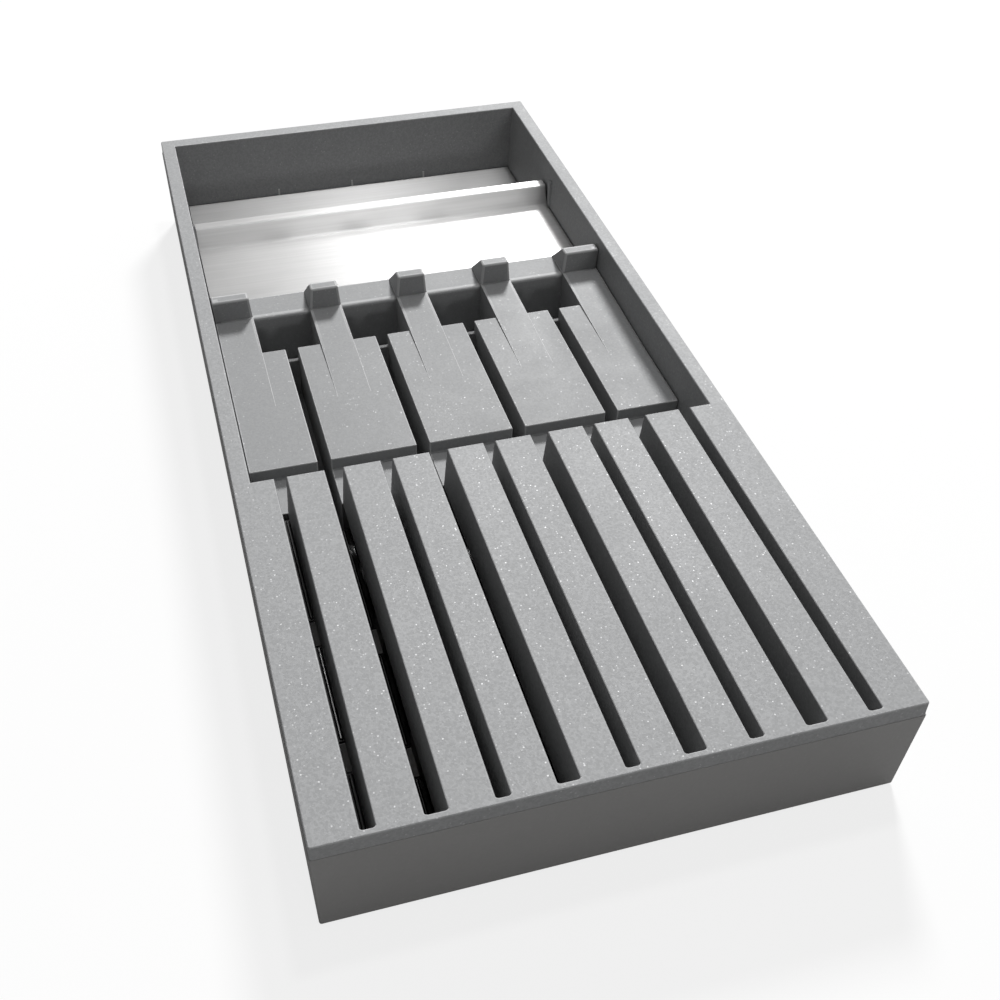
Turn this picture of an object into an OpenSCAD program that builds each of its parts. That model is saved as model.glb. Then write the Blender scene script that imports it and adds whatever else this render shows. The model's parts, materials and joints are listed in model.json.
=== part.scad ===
// Knife holder that lies in a drawer: slotted cover, lower shell, handle rest,
// blade beds and a folded steel tray.
// The origin is the centre of the footprint on the surface that it stands on.
// X is the width, -Y the end where the blades point, +Y the tray end, +Z up.

/* [Housing] */
// Width of the holder, across the slots
body_w = 177; // [172:1:200]
// Length of the holder, from the blade end to the tray end
body_l = 390; // [384:1:430]
// Height of the housing, without its feet
body_h = 41; // [39:0.5:46]
// Height of the cover's outer band, above the seam
band_h = 5.5; // [4.5:0.5:8]
// Radius of the housing's upright corners
corner_r = 0.75; // [0.5:0.25:3]
// Wall of the lower shell
shell_t = 2; // [1.6:0.1:2.4]
// Floor of the lower shell
floor_t = 2.2; // [1.8:0.1:2.6]
// How far the lower shell's long sides lean in, from the seam to the bottom
side_taper = 1.04; // [0.4:0.02:1.4]
// How far the lower shell's ends lean in, from the seam to the bottom
end_taper = 2.65; // [1.5:0.05:3.2]

/* [Cover] */
// Thickness of the cover's top and of its outer band
cover_t = 2; // [1.6:0.1:2.2]
// How far the cover's band stands in from the shell's edge
band_in = 0.25; // [0:0.05:0.5]
// Width of the rim along the long sides
rim_side = 6.2; // [5.8:0.1:8]
// Width of the rim at the tray end
rim_end = 6.5; // [6.1:0.1:9]
// Wall that goes down from the rim around the recess
inner_t = 1.8; // [1.4:0.1:2]
// Place of the comb's rear edge at the top, from the middle of the length
comb_rear = -53.8; // [-58:0.2:-53]
// Distance from the centres of the outermost slots to the holder's sides
slot_edge = 16.1; // [15.3:0.1:17]
// Width of a narrow slot at the top
narrow_w = 4.2; // [3.8:0.1:5.6]
// Width of a wide slot at the top
wide_w = 6.4; // [6:0.1:7.2]
// Depth of the slots' walls below the top
slot_deep = 20; // [18:0.5:21]
// Radius of the corners at a slot's closed end
slot_r = 1.2; // [0.8:0.1:1.6]
// Material between a slot's closed end and the blade end of the holder
slot_land = 2.2; // [2.1:0.1:4]
// Wall on each side of a slot, at its foot
slot_wall = 1.5; // [1.2:0.1:1.8]

/* [Handle rest] */
// Depth of the tongues' tops below the rim
tongue_drop = 15; // [13.5:0.5:16]
// Place of the tongues' front edge
tongue_front = -32; // [-36:1:-28]
// Place of the wells' front wall, where the tongues end
well_front = 37.8; // [34:0.2:42]
// Place of the posts' front face, where the wells end
post_front = 60.6; // [56:0.2:64]
// Width of a channel between two tongues
channel_w = 4.8; // [4.6:0.1:5.2]
// Width of a raised strip between two wells
strip_w = 13; // [11:0.5:14]
// Place where a strip's slope meets the tongue
strip_start = 3; // [0:1:20]
// Depth of a strip below the rim, at the foot of its post
strip_drop = 13.5; // [12:0.5:14]
// Depth of the posts' tops below the rim
post_drop = 4.3; // [3.5:0.1:7]
// Length of a post's flat top
post_top = 4.7; // [3:0.1:7]
// Depth of the saddles between the posts, below the rim
saddle_drop = 14.5; // [13.5:0.5:16.5]
// Radius of the saddles' front edge
saddle_r = 1.5; // [0.5:0.1:2]
// Radius of the hollow rounding at the foot of the tongues' front
foot_fillet = 0.8; // [0.4:0.1:1.5]
// Length of the rear bar, from the posts' front to its back
bar_l = 15.4; // [13:0.2:17]
// Wall of the handle rest
rest_t = 1.8; // [1.4:0.1:2.2]

/* [Steel tray] */
// Thickness of the steel sheet
sheet_t = 0.8; // [0.6:0.1:1]
// Depth of the front shelf below the rim
shelf_drop = 19.4; // [18:0.2:21]
// Length of the front shelf, up to the foot of the step
shelf_l = 50.4; // [46:0.2:58]
// Depth of the step's top below the rim
step_drop = 11.1; // [9:0.1:13]
// Length of the step's flat top, with the bends on both sides of it
step_top_l = 6.2; // [5:0.1:8]
// Outer radius of the bends on both sides of the step's top
step_r = 1.2; // [1:0.1:1.6]
// How far the step's front leans back, from its foot to the top's front bend
step_lean = 2.8; // [1.5:0.1:3.5]
// Depth of the rear floor below the rim
pan_drop = 31.4; // [28:0.2:32]
// Inner radius of the sheet's bends at the foot of the step
bend_r = 1.5; // [1:0.1:2]

/* [Inside] */
// Width of a cross rib between two blade beds
rib_w = 10.5; // [9:0.5:12]
// Distance of the front cross rib's centre from the blade end
rib_front_in = 41; // [35:1:48]
// Distance of the rear cross rib's centre from the blade end
rib_rear_in = 89.5; // [83:0.5:97]
// Gap between the foot of the slots' walls and the ridges below them
bed_gap = 1; // [0.6:0.1:1.6]
// Radius of the ridges that a blade lies on
ridge_r = 0.55; // [0.4:0.05:0.6]
// Depth of the wide slots' bed below the rim
wide_drop = 30.5; // [28:0.5:32]

/* [Feet and screws] */
// Radius of a non-slip foot
foot_r = 6; // [5:0.5:8]
// How far the feet stand out below the shell
foot_out = 0.5; // [0.3:0.1:1]
// How deep the feet sit in the shell
foot_in = 0.9; // [0.6:0.1:1.1]
// Radius of a screw's shank
screw_r = 1.4; // [1.2:0.1:1.6]
// Length of a screw's shank
screw_l = 10; // [8:0.5:12]

/* [Hidden] */

// Overrun of every cut, and how finely round things are drawn
over = 1;
round_fn = 48;
// Gap at a lift-out piece's sides, and under each piece that is laid in
side_gap = 0.4;
seat_gap = 0.1;
// Slots on each side of the middle one, every second slot being wide
side_slots = 4;
// Lean of the inner walls, of the slots' walls and of the posts' flanks, as shares of the depth
side_lean_share = 0.057;
end_lean_share = 0.027;
slot_lean_share = 0.023;
comb_lean_share = 0.155;
post_lean_share = 0.09;
// How much wider than a slot the outline of its rounded end is, as a share of its corners' radius
slot_corner_share = 0.3;

base_z = foot_out;
top_z = base_z + body_h;
seam_z = top_z - band_h;
floor_z = base_z + floor_t;
half_w = body_w / 2;
half_l = body_l / 2;
slot_pitch = (half_w - slot_edge) / side_slots;
rib_front = rib_front_in - half_l;
rib_rear = rib_rear_in - half_l;
shell_h = seam_z - base_z;
recess_half = half_w - rim_side;
recess_back = half_l - rim_end;
slot_z = top_z - slot_deep;
slot_front = slot_land - half_l;
seat_z = floor_z + seat_gap;
wall_foot_drop = top_z - seat_z;
comb_foot = comb_rear + comb_lean_share * slot_deep;

function is_wide(k) = abs(k) % 2 == 1;
function slot_x(k) = k * slot_pitch;
function slot_w(k) = is_wide(k) ? wide_w : narrow_w;
function side_in(z) = side_taper * (seam_z - z) / shell_h;
function end_in(z) = end_taper * (seam_z - z) / shell_h;
function recess_x(drop) = recess_half - side_lean_share * drop;
function recess_y(drop) = recess_back - end_lean_share * drop;

slot_steps = [-side_slots : side_slots];
channel_steps = [for (k = slot_steps) if (is_wide(k)) k];

// Outline with round corners
module round_plan(w, l, r) {
    square([w - 2 * r, l], center = true);
    square([w, l - 2 * r], center = true);
    for (sx = [-1, 1], sy = [-1, 1])
        translate([sx * (w / 2 - r), sy * (l / 2 - r)])
            circle(r = r, $fn = round_fn);
}

// Box between two corners
module span(a, b) {
    translate(a)
        cube(b - a);
}

// Profile drawn in X and Z, drawn out along Y
module along_y(y0, y1) {
    translate([0, y1, 0])
        rotate([90, 0, 0])
            linear_extrude(y1 - y0)
                children();
}

// Profile drawn in Y and Z, drawn out along X between two places
module along_x(x0, x1) {
    translate([x0, 0, 0])
        rotate([90, 0, 90])
            linear_extrude(x1 - x0)
                children();
}

// Block whose four sides lean in towards the bottom as the shell's do, a wall inside the housing
module shell_block(wall, z0, z1) {
    w = half_w - wall;
    l = half_l - wall;
    zt = min(z1, seam_z);
    intersection() {
        along_y(-half_l, half_l)
            polygon([[side_in(z0) - w, z0], [w - side_in(z0), z0], [w - side_in(zt), zt],
                [w - side_in(zt), z1], [side_in(zt) - w, z1], [side_in(zt) - w, zt]]);
        along_x(-half_w, half_w)
            polygon([[end_in(z0) - l, z0], [l - end_in(z0), z0], [l - end_in(zt), zt],
                [l - end_in(zt), z1], [end_in(zt) - l, z1], [end_in(zt) - l, zt]]);
    }
}

// Profile of the recess between its leaning side walls, grown by a wall
module recess_profile(grow, drop0, drop1) {
    x0 = recess_x(drop0) + grow;
    x1 = recess_x(drop1) + grow;
    polygon([[-x1, top_z - drop1], [x1, top_z - drop1], [x0, top_z - drop0], [-x0, top_z - drop0]]);
}

// The recess itself, open at the top
module recess_space() {
    intersection() {
        along_y(comb_rear - over - inner_t, half_l)
            recess_profile(0, -over, top_z);
        along_x(-half_w, half_w)
            polygon([[comb_rear - comb_lean_share * over, top_z + over], [comb_foot, slot_z],
                [comb_foot - inner_t, slot_z], [comb_foot - inner_t, 0],
                [recess_y(top_z), 0], [recess_y(-over), top_z + over]]);
    }
}

// The recess with its walls, still solid, from a place to the tray end
module recess_walls(y0) {
    intersection() {
        along_y(y0, half_l)
            recess_profile(inner_t, 0, wall_foot_drop);
        along_x(-half_w, half_w)
            polygon([[y0, seat_z], [y0, top_z], [recess_y(0) + inner_t, top_z],
                [recess_y(wall_foot_drop) + inner_t, seat_z]]);
    }
}

// One slot: its walls come closer as they go down. Its closed end has round corners in the
// band, and below the seam it runs on to the shell's wall
module slot_space(k) {
    w = slot_w(k);
    deep = slot_deep + over;
    foot = w / 2 - slot_lean_share * deep;
    head = w / 2 + slot_lean_share * over;
    seam = w / 2 - slot_lean_share * band_h;
    length = comb_foot + over - slot_front;
    translate([slot_x(k), 0, 0]) {
        intersection() {
            along_y(slot_front, comb_foot + over)
                polygon([[-foot, top_z - deep], [foot, top_z - deep],
                    [head, top_z + over], [-head, top_z + over]]);
            translate([0, slot_front + length, 0])
                linear_extrude(top_z + over)
                    round_plan(2 * head + slot_corner_share * slot_r, 2 * length, slot_r);
        }
        along_y(-half_l, slot_front + slot_r)
            polygon([[-foot, top_z - deep], [foot, top_z - deep], [seam, seam_z], [-seam, seam_z]]);
    }
}

// Comb of bars between the slots, still solid
module comb_block() {
    intersection() {
        shell_block(seat_gap + shell_t, slot_z, top_z);
        along_x(-half_w, half_w)
            polygon([[-half_l, slot_z], [comb_foot, slot_z], [comb_rear, top_z], [-half_l, top_z]]);
    }
}

// Hollow under a bar, open at its foot; a and b are the places of its two sides
module bar_hollow(a, b) {
    fit = seat_gap + shell_t;
    z1 = top_z - cover_t;
    along_x(a, b)
        polygon([[fit + inner_t + end_in(slot_z) - half_l, slot_z - over],
            [comb_foot - inner_t, slot_z - over],
            [comb_foot - inner_t, slot_z],
            [comb_foot - inner_t - comb_lean_share * (z1 - slot_z), z1],
            [fit + inner_t - half_l, z1], [fit + inner_t - half_l, seam_z],
            [fit + inner_t + end_in(slot_z) - half_l, slot_z]]);
}

// Places of the cover screws: at the two cross ribs, beside the outermost wide slots' notches
head_r = 2 * screw_r;
head_gap = 1.05;
screw_x = slot_x(side_slots - 1) + wide_w / 2 + shell_t + head_gap + head_r;
screw_places = [for (sx = [-1, 1], y = [rib_front, rib_rear]) [sx * screw_x, y]];
boss_r = screw_r + slot_wall;
rib_top = slot_z - bed_gap - ridge_r;
boss_foot = rib_top + seat_gap;
pilot_deep = screw_l - shell_t;

// Small upright ribs on the recess's back wall that centre the steel tray
nub_w = 0.8;
nub_h = 3;
nub_out = 0.45;

// Upright guide on each side wall, in front of the steel tray's step
guide_l = 3;
guide_out = side_gap - seat_gap;
guide_drop = 7;
guide_y = post_front + bar_l + side_gap + shelf_l - guide_l;

module top_cover() {
    color("#c3c7ca")
    difference() {
        union() {
            translate([0, 0, seam_z])
                linear_extrude(band_h)
                    band_plan(0);
            comb_block();
            recess_walls(comb_foot - inner_t / 2);
        }
        recess_space();
        for (k = slot_steps)
            slot_space(k);
        for (k = [1 - side_slots : side_slots])
            bar_hollow(slot_x(k - 1) + slot_w(k - 1) / 2 + slot_wall,
                slot_x(k) - slot_w(k) / 2 - slot_wall);
        for (sx = [0, 1])
            mirror([sx, 0, 0])
                bar_hollow(slot_x(side_slots) + slot_w(side_slots) / 2 + slot_wall,
                    half_w - seat_gap - shell_t - inner_t);
        rim_hollow();
    }
    color("#c3c7ca")
    for (p = screw_places)
        translate([p[0], p[1], boss_foot])
            difference() {
                cylinder(r = boss_r, h = top_z - boss_foot - cover_t / 2, $fn = round_fn);
                translate([0, 0, -over])
                    cylinder(r = screw_r + seat_gap, h = over + pilot_deep, $fn = round_fn);
            }
    color("#c3c7ca")
    intersection() {
        union() {
            for (k = [-2, 0, 2])
                translate([slot_x(k) - nub_w / 2, recess_y(pan_drop) - nub_out, top_z - pan_drop])
                    cube([nub_w, inner_t, nub_h]);
            for (sx = [0, 1])
                mirror([sx, 0, 0])
                    translate([recess_x(shelf_drop) - guide_out, guide_y, seat_z])
                        cube([guide_out + inner_t, guide_l, top_z - guide_drop - seat_z]);
        }
        along_y(-half_l, half_l)
            recess_profile(inner_t / 2, 0, wall_foot_drop);
    }
}

// Outline of the outer band, a wall inside its outer face
module band_plan(wall) {
    inset = band_in + wall;
    round_plan(body_w - 2 * inset, body_l - 2 * inset, corner_r);
}

// Hollow between the outer band and the walls of the recess
module rim_hollow() {
    difference() {
        intersection() {
            translate([0, 0, seam_z - over])
                linear_extrude(band_h + over - cover_t)
                    band_plan(cover_t);
            span([-half_w, comb_foot + inner_t, 0], [half_w, half_l, top_z]);
        }
        recess_walls(-half_l);
    }
}

// Places of the feet: four near the corners and two at the middle
foot_x = half_w - 3 * foot_r;
foot_places = [for (sx = [-1, 1], sy = [-1, 0, 1]) [sx * foot_x, sy * (half_l - 3 * foot_r)]];

// Cross rib between two blade beds, with a notch under each wide slot, seen from the end;
// its hollow is the same shape a wall smaller, and open at the foot
module rib_profile(wall, foot) {
    half = half_w - shell_t - side_in(floor_z) - wall;
    notch = wide_w / 2 + wall;
    difference() {
        translate([-half, foot])
            square([2 * half, rib_top - wall - foot]);
        for (k = channel_steps)
            translate([slot_x(k) - notch, bed_wide_z - wall])
                square([2 * notch, top_z]);
    }
}

// Upright ribs that carry the steel tray: three under the shelf and three under the rear floor
tray_front = post_front + bar_l + side_gap;
step_y = tray_front + shelf_l;
step_back = step_y + step_lean + step_top_l;
pan_front = step_back - sheet_t;
pan_back = recess_y(pan_drop) - nub_out - seat_gap;
rib_t = 1.6;
carrier_half = recess_x(wall_foot_drop) - 2 * inner_t;
shelf_carriers = [tray_front + bar_l / 2, tray_front + shelf_l / 2, step_y - bar_l / 2];
pan_carriers = [pan_front + bar_l / 2, (pan_front + pan_back) / 2, pan_back - bar_l / 2];

module lower_shell() {
    color("#aeb2b3")
    difference() {
        union() {
            difference() {
                intersection() {
                    shell_block(0, base_z, seam_z);
                    linear_extrude(top_z)
                        round_plan(body_w, body_l, corner_r);
                }
                shell_block(shell_t, floor_z, top_z);
            }
            for (y = [rib_front, rib_rear])
                along_y(y - rib_w / 2, y + rib_w / 2)
                    rib_profile(0, base_z);
            for (y = shelf_carriers)
                span([-carrier_half, y - rib_t / 2, base_z],
                    [carrier_half, y + rib_t / 2, top_z - shelf_drop - sheet_t - seat_gap]);
            for (y = pan_carriers)
                span([-carrier_half, y - rib_t / 2, base_z],
                    [carrier_half, y + rib_t / 2, top_z - pan_drop - sheet_t - seat_gap]);
        }
        for (y = [rib_front, rib_rear])
            along_y(y - rib_w / 2 + shell_t, y + rib_w / 2 - shell_t)
                rib_profile(shell_t, base_z - over);
        for (p = screw_places)
            translate([p[0], p[1], base_z])
                cylinder(r = screw_r + 2 * seat_gap, h = top_z, $fn = round_fn);
        for (p = foot_places)
            translate([p[0], p[1], base_z - over])
                cylinder(r = foot_r + seat_gap, h = over + foot_in, $fn = round_fn);
    }
}

// Cross section of the handle rest between the recess's walls, from its foot to a depth
module rest_profile(drop) {
    recess_profile(-side_gap, drop, wall_foot_drop - seat_gap);
}

rest_front = comb_foot + side_gap;
rest_foot = seat_z + seat_gap;
tongue_z = top_z - tongue_drop;
strip_z = top_z - strip_drop;
saddle_z = top_z - saddle_drop;
post_z = top_z - post_drop;
bar_back = post_front + bar_l;

module handle_rest() {
    strip_steps = [-side_slots, -2, 0, 2, side_slots];
    color("#b9bdbf")
    difference() {
        union() {
            along_y(rest_front, bar_back)
                rest_profile(slot_deep);
            along_y(tongue_front, well_front)
                rest_profile(tongue_drop);
            intersection() {
                along_y(post_front, bar_back)
                    rest_profile(saddle_drop);
                along_x(-half_w, half_w)
                    saddle_side();
            }
            intersection() {
                along_y(tongue_front - foot_fillet, tongue_front + foot_fillet)
                    rest_profile(tongue_drop);
                along_x(-half_w, half_w)
                    foot_fillet_side();
            }
            intersection() {
                along_y(rest_front, bar_back)
                    rest_profile(strip_drop);
                for (k = strip_steps)
                    strip(slot_x(k));
            }
            intersection() {
                along_y(rest_front, bar_back)
                    rest_profile(post_drop);
                for (k = strip_steps)
                    post(slot_x(k));
            }
        }
        for (k = channel_steps) {
            channel(slot_x(k));
            well(slot_x(k));
        }
        rest_hollows();
    }
}

// Side of the rear bar without its posts, with a round front edge
module saddle_side() {
    translate([post_front, rest_foot])
        square([bar_l, saddle_z - saddle_r - rest_foot]);
    translate([post_front + saddle_r, rest_foot])
        square([bar_l - saddle_r, saddle_z - rest_foot]);
    translate([post_front + saddle_r, saddle_z - saddle_r])
        circle(r = saddle_r, $fn = round_fn);
}

// Hollow rounding between the ledge and the tongues' front, let into both by its own radius
module foot_fillet_side() {
    translate([tongue_front - foot_fillet, slot_z - foot_fillet])
        difference() {
            square(2 * foot_fillet);
            translate([0, 2 * foot_fillet])
                circle(r = foot_fillet, $fn = round_fn);
        }
}

// How far the outermost strips and posts run past their centre, into the wall's profile
function outer_reach(x) = abs(x) > (side_slots - 1) * slot_pitch ? slot_pitch : 0;

// Raised strip beside the wells, rising gently towards its post
module strip(x) {
    reach = outer_reach(x);
    x0 = x - strip_w / 2 - (x < 0 ? reach : 0);
    x1 = x + strip_w / 2 + (x > 0 ? reach : 0);
    along_x(x0, x1)
        polygon([[strip_start, rest_foot], [strip_start, tongue_z], [post_front, strip_z],
            [bar_back - post_top, strip_z], [bar_back - post_top, rest_foot]]);
}

// Post of the rear bar, with an upright front, a sloping back and leaning flanks
module post(x) {
    reach = outer_reach(x);
    lean = post_lean_share * (post_z - saddle_z);
    x0 = x - strip_w / 2;
    x1 = x + strip_w / 2;
    intersection() {
        along_x(x0 - reach, x1 + reach)
            polygon([[post_front, saddle_z - rest_t], [post_front, post_z],
                [post_front + post_top, post_z], [bar_back, saddle_z],
                [bar_back, saddle_z - rest_t]]);
        along_y(post_front, bar_back)
            polygon([[x0 - (x < 0 ? reach : 0), saddle_z - rest_t],
                [x1 + (x > 0 ? reach : 0), saddle_z - rest_t],
                [x1 + (x > 0 ? reach : 0), saddle_z],
                [x1 - lean + (x > 0 ? reach : 0), post_z],
                [x0 + lean - (x < 0 ? reach : 0), post_z],
                [x0 - (x < 0 ? reach : 0), saddle_z]]);
    }
}

// Channel between two tongues, in line with a wide slot
module channel(x) {
    span([x - channel_w / 2, rest_front - over, rest_foot + rest_t],
        [x + channel_w / 2, well_front - rest_t, tongue_z + over]);
    span([x - channel_w / 2, tongue_front - over, slot_z],
        [x + channel_w / 2, well_front + over, tongue_z + over]);
}

// Well between two strips
module well(x) {
    half = slot_pitch - strip_w / 2;
    span([x - half, well_front, rest_foot + rest_t],
        [x + half, post_front, top_z]);
}

// Hollows under the ledge, the tongues, the strips and the rear bar, open at the foot
module rest_hollows() {
    edge = recess_x(wall_foot_drop) - side_gap - rest_t;
    low = rest_foot - over;
    for (k = [-side_slots, -2, 0, 2, side_slots]) {
        x0 = max(slot_x(k - 1) + channel_w / 2 + rest_t, -edge);
        x1 = min(slot_x(k + 1) - channel_w / 2 - rest_t, edge);
        span([x0, rest_front + rest_t, low],
            [x1, well_front - rest_t, slot_z - rest_t]);
        span([x0, tongue_front + rest_t, low],
            [x1, well_front - rest_t, tongue_z - rest_t]);
        span([max(slot_x(k) - strip_w / 2 + rest_t, -edge), well_front - rest_t - over, low],
            [min(slot_x(k) + strip_w / 2 - rest_t, edge), post_front + rest_t + over,
                tongue_z - rest_t]);
    }
    span([-edge, post_front + rest_t, low],
        [edge, bar_back - rest_t, saddle_z - rest_t]);
}

// Heights of the two kinds of bed
bed_narrow_z = rib_top;
bed_wide_z = top_z - wide_drop - ridge_r;
bed_web = 1.6;

// Blade bed between two places: a low web, a raised rail under each narrow slot, a lower one
// under each wide slot, and two round ridges on each rail for the blade to lie on
module blade_bed(y0, y1) {
    edge = half_w - shell_t - side_in(seat_z) - side_gap;
    along_y(y0, y1)
        difference() {
            union() {
                translate([-edge, seat_z])
                    square([2 * edge, bed_web]);
                for (k = slot_steps)
                    bed_rail(k);
            }
            for (k = slot_steps)
                translate([slot_x(k) - slot_w(k) / 2 + bed_web / 2, seat_z + bed_web])
                    square([slot_w(k) - bed_web, rail_z(k) - seat_z - 2 * bed_web]);
        }
}

function rail_z(k) = is_wide(k) ? bed_wide_z : bed_narrow_z;

module bed_rail(k) {
    rail_w = slot_w(k) + bed_web;
    ridge_x = slot_w(k) / 2 - 2 * ridge_r;
    translate([slot_x(k) - rail_w / 2, seat_z])
        square([rail_w, rail_z(k) - seat_z]);
    for (sx = [-1, 1])
        translate([slot_x(k) + sx * ridge_x, rail_z(k)])
            circle(r = ridge_r, $fn = round_fn);
}

module blade_bed_rear() {
    color("#1c1c1e")
        blade_bed(rib_rear + rib_w / 2 + side_gap, comb_foot - inner_t / 2 - side_gap);
}

module blade_bed_middle() {
    color("#1c1c1e")
        blade_bed(rib_front + rib_w / 2 + side_gap, rib_rear - rib_w / 2 - side_gap);
}

module blade_bed_front() {
    color("#1c1c1e")
        blade_bed(shell_t + end_in(seat_z) + side_gap - half_l, rib_front - rib_w / 2 - side_gap);
}

// Part of a ring between two quarter turns, for a bend of the sheet
module bend(cy, cz, r_in, sy, sz) {
    r_out = r_in + sheet_t;
    translate([cy, cz])
        intersection() {
            difference() {
                circle(r = r_out, $fn = round_fn);
                circle(r = r_in, $fn = round_fn);
            }
            translate([min(0, sy * r_out), min(0, sz * r_out)])
                square([r_out, r_out]);
        }
}

// Folded steel sheet: front shelf, step with a flat top, rear floor. Its side edges stay clear
// of the guides, and below the shelf they follow the recess's walls
module steel_tray() {
    shelf_z = top_z - shelf_drop;
    step_z = top_z - step_drop;
    pan_z = top_z - pan_drop;
    tray_half = recess_x(shelf_drop + bend_r) - side_gap;
    face_y = step_y + step_lean;
    r_in = step_r - sheet_t;
    color("#d5d7d8")
    intersection() {
        along_x(-tray_half, tray_half) {
            translate([tray_front, shelf_z - sheet_t])
                square([shelf_l - bend_r, sheet_t]);
            bend(step_y - bend_r, shelf_z + bend_r, bend_r, 1, -1);
            polygon([[step_y, shelf_z + bend_r], [step_y + sheet_t, shelf_z + bend_r],
                [face_y + sheet_t, step_z - step_r], [face_y, step_z - step_r]]);
            bend(face_y + step_r, step_z - step_r, r_in, -1, 1);
            translate([face_y + step_r, step_z - sheet_t])
                square([step_top_l - 2 * step_r, sheet_t]);
            bend(step_back - step_r, step_z - step_r, r_in, 1, 1);
            translate([pan_front, pan_z + bend_r])
                square([sheet_t, step_z - step_r - pan_z - bend_r]);
            bend(step_back + bend_r, pan_z + bend_r, bend_r, -1, -1);
            translate([step_back + bend_r, pan_z - sheet_t])
                square([pan_back - step_back - bend_r, sheet_t]);
        }
        along_y(tray_front - over, pan_back + over)
            recess_profile(-side_gap, 0, wall_foot_drop);
    }
}

// Screws that hold the cover down on the lower shell, driven from below through the cross ribs
module cover_screws() {
    head_z = rib_top - shell_t;
    color("#8d8f92")
    for (p = screw_places)
        translate([p[0], p[1], 0])
            difference() {
                union() {
                    translate([0, 0, head_z - head_r / 2 - seat_gap])
                        cylinder(r = head_r, h = head_r / 2, $fn = round_fn);
                    translate([0, 0, head_z - seat_gap - head_r / 4])
                        cylinder(r = screw_r, h = screw_l, $fn = round_fn);
                }
                for (a = [0, 90])
                    rotate([0, 0, a])
                        translate([-screw_r, -screw_r / 6, head_z - head_r - over])
                            cube([2 * screw_r, screw_r / 3, over + head_r / 2 + screw_r / 2]);
            }
}

module non_slip_feet() {
    color("#3a3b3c")
    for (p = foot_places)
        translate([p[0], p[1], 0])
            cylinder(r = foot_r, h = foot_out + foot_in, $fn = round_fn);
}

top_cover();
lower_shell();
handle_rest();
blade_bed_rear();
blade_bed_middle();
blade_bed_front();
steel_tray();
cover_screws();
non_slip_feet();
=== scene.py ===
import json
import math

import bmesh
import bpy
from mathutils import Matrix, Vector

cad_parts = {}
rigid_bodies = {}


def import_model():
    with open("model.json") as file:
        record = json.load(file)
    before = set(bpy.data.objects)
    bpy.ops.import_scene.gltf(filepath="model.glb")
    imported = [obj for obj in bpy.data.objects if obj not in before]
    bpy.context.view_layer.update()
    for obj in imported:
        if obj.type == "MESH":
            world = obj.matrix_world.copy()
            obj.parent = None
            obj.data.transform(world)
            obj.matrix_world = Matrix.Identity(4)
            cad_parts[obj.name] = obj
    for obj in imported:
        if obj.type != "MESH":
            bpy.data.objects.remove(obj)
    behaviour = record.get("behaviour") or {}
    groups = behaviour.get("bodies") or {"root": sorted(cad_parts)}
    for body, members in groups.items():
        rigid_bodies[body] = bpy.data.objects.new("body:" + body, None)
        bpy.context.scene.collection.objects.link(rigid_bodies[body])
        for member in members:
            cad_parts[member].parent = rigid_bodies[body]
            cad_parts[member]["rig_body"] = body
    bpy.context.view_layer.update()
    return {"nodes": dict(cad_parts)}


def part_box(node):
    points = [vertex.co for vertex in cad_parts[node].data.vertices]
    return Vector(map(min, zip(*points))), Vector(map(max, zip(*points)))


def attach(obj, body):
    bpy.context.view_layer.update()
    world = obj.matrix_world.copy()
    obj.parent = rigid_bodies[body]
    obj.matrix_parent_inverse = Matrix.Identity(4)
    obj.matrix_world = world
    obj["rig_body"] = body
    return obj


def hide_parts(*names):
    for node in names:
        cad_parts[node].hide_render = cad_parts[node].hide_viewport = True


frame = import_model()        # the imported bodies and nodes, which every piece below is built around
mm = 0.001               # the sizes of the pieces below are in millimetres

# Camera: the photographed angle

cameraValues = {
    "place": (-0.10138, -0.38401, 0.33299),
    "forward": (0.21794, 0.73179, -0.64575),
    "right": (0.96183, -0.27324, 0.01496),
    "lens": 47.21,
    "sensor": 36.0,
    "shiftX": 0.0194,
    "shiftY": -0.0575,
    "nearest": 0.01,
    "farthest": 50,
}


def makeCamera(values):
    data = bpy.data.cameras.new("viewCamera")
    data.lens = values["lens"]
    data.sensor_width = values["sensor"]
    data.shift_x = values["shiftX"]
    data.shift_y = values["shiftY"]
    data.clip_start = values["nearest"]
    data.clip_end = values["farthest"]
    forward = Vector(values["forward"]).normalized()
    right = Vector(values["right"])
    right = (right - forward * right.dot(forward)).normalized()
    up = right.cross(forward)
    turn = Matrix((right, up, -forward)).transposed().to_4x4()
    camera = bpy.data.objects.new("viewCamera", data)
    camera.matrix_world = Matrix.Translation(values["place"]) @ turn
    bpy.context.scene.collection.objects.link(camera)
    bpy.context.scene.camera = camera


makeCamera(cameraValues)
print("camera ready")

# Small helpers for node trees and meshes


def addNode(tree, kind, inputs=None, **settings):
    node = tree.nodes.new(kind)
    for key, value in settings.items():
        setattr(node, key, value)
    for key, value in (inputs or {}).items():
        if isinstance(value, bpy.types.NodeSocket):
            tree.links.new(value, node.inputs[key])
        else:
            node.inputs[key].default_value = value
    return node


def mathNode(tree, operation, first, second=0.0, third=0.0, clamp=False):
    return addNode(tree, "ShaderNodeMath", {0: first, 1: second, 2: third},
                   operation=operation, use_clamp=clamp).outputs[0]


def mixColour(tree, share, first, second):
    node = addNode(tree, "ShaderNodeMix", {0: share, 6: first, 7: second},
                   data_type="RGBA", blend_type="MIX", clamp_result=True)
    return node.outputs[2]


def ramp(tree, value, low, high, outLow=0.0, outHigh=1.0):
    node = addNode(tree, "ShaderNodeMapRange",
                   {0: value, 1: low, 2: high, 3: outLow, 4: outHigh},
                   interpolation_type="SMOOTHSTEP")
    return node.outputs[0]


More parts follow.
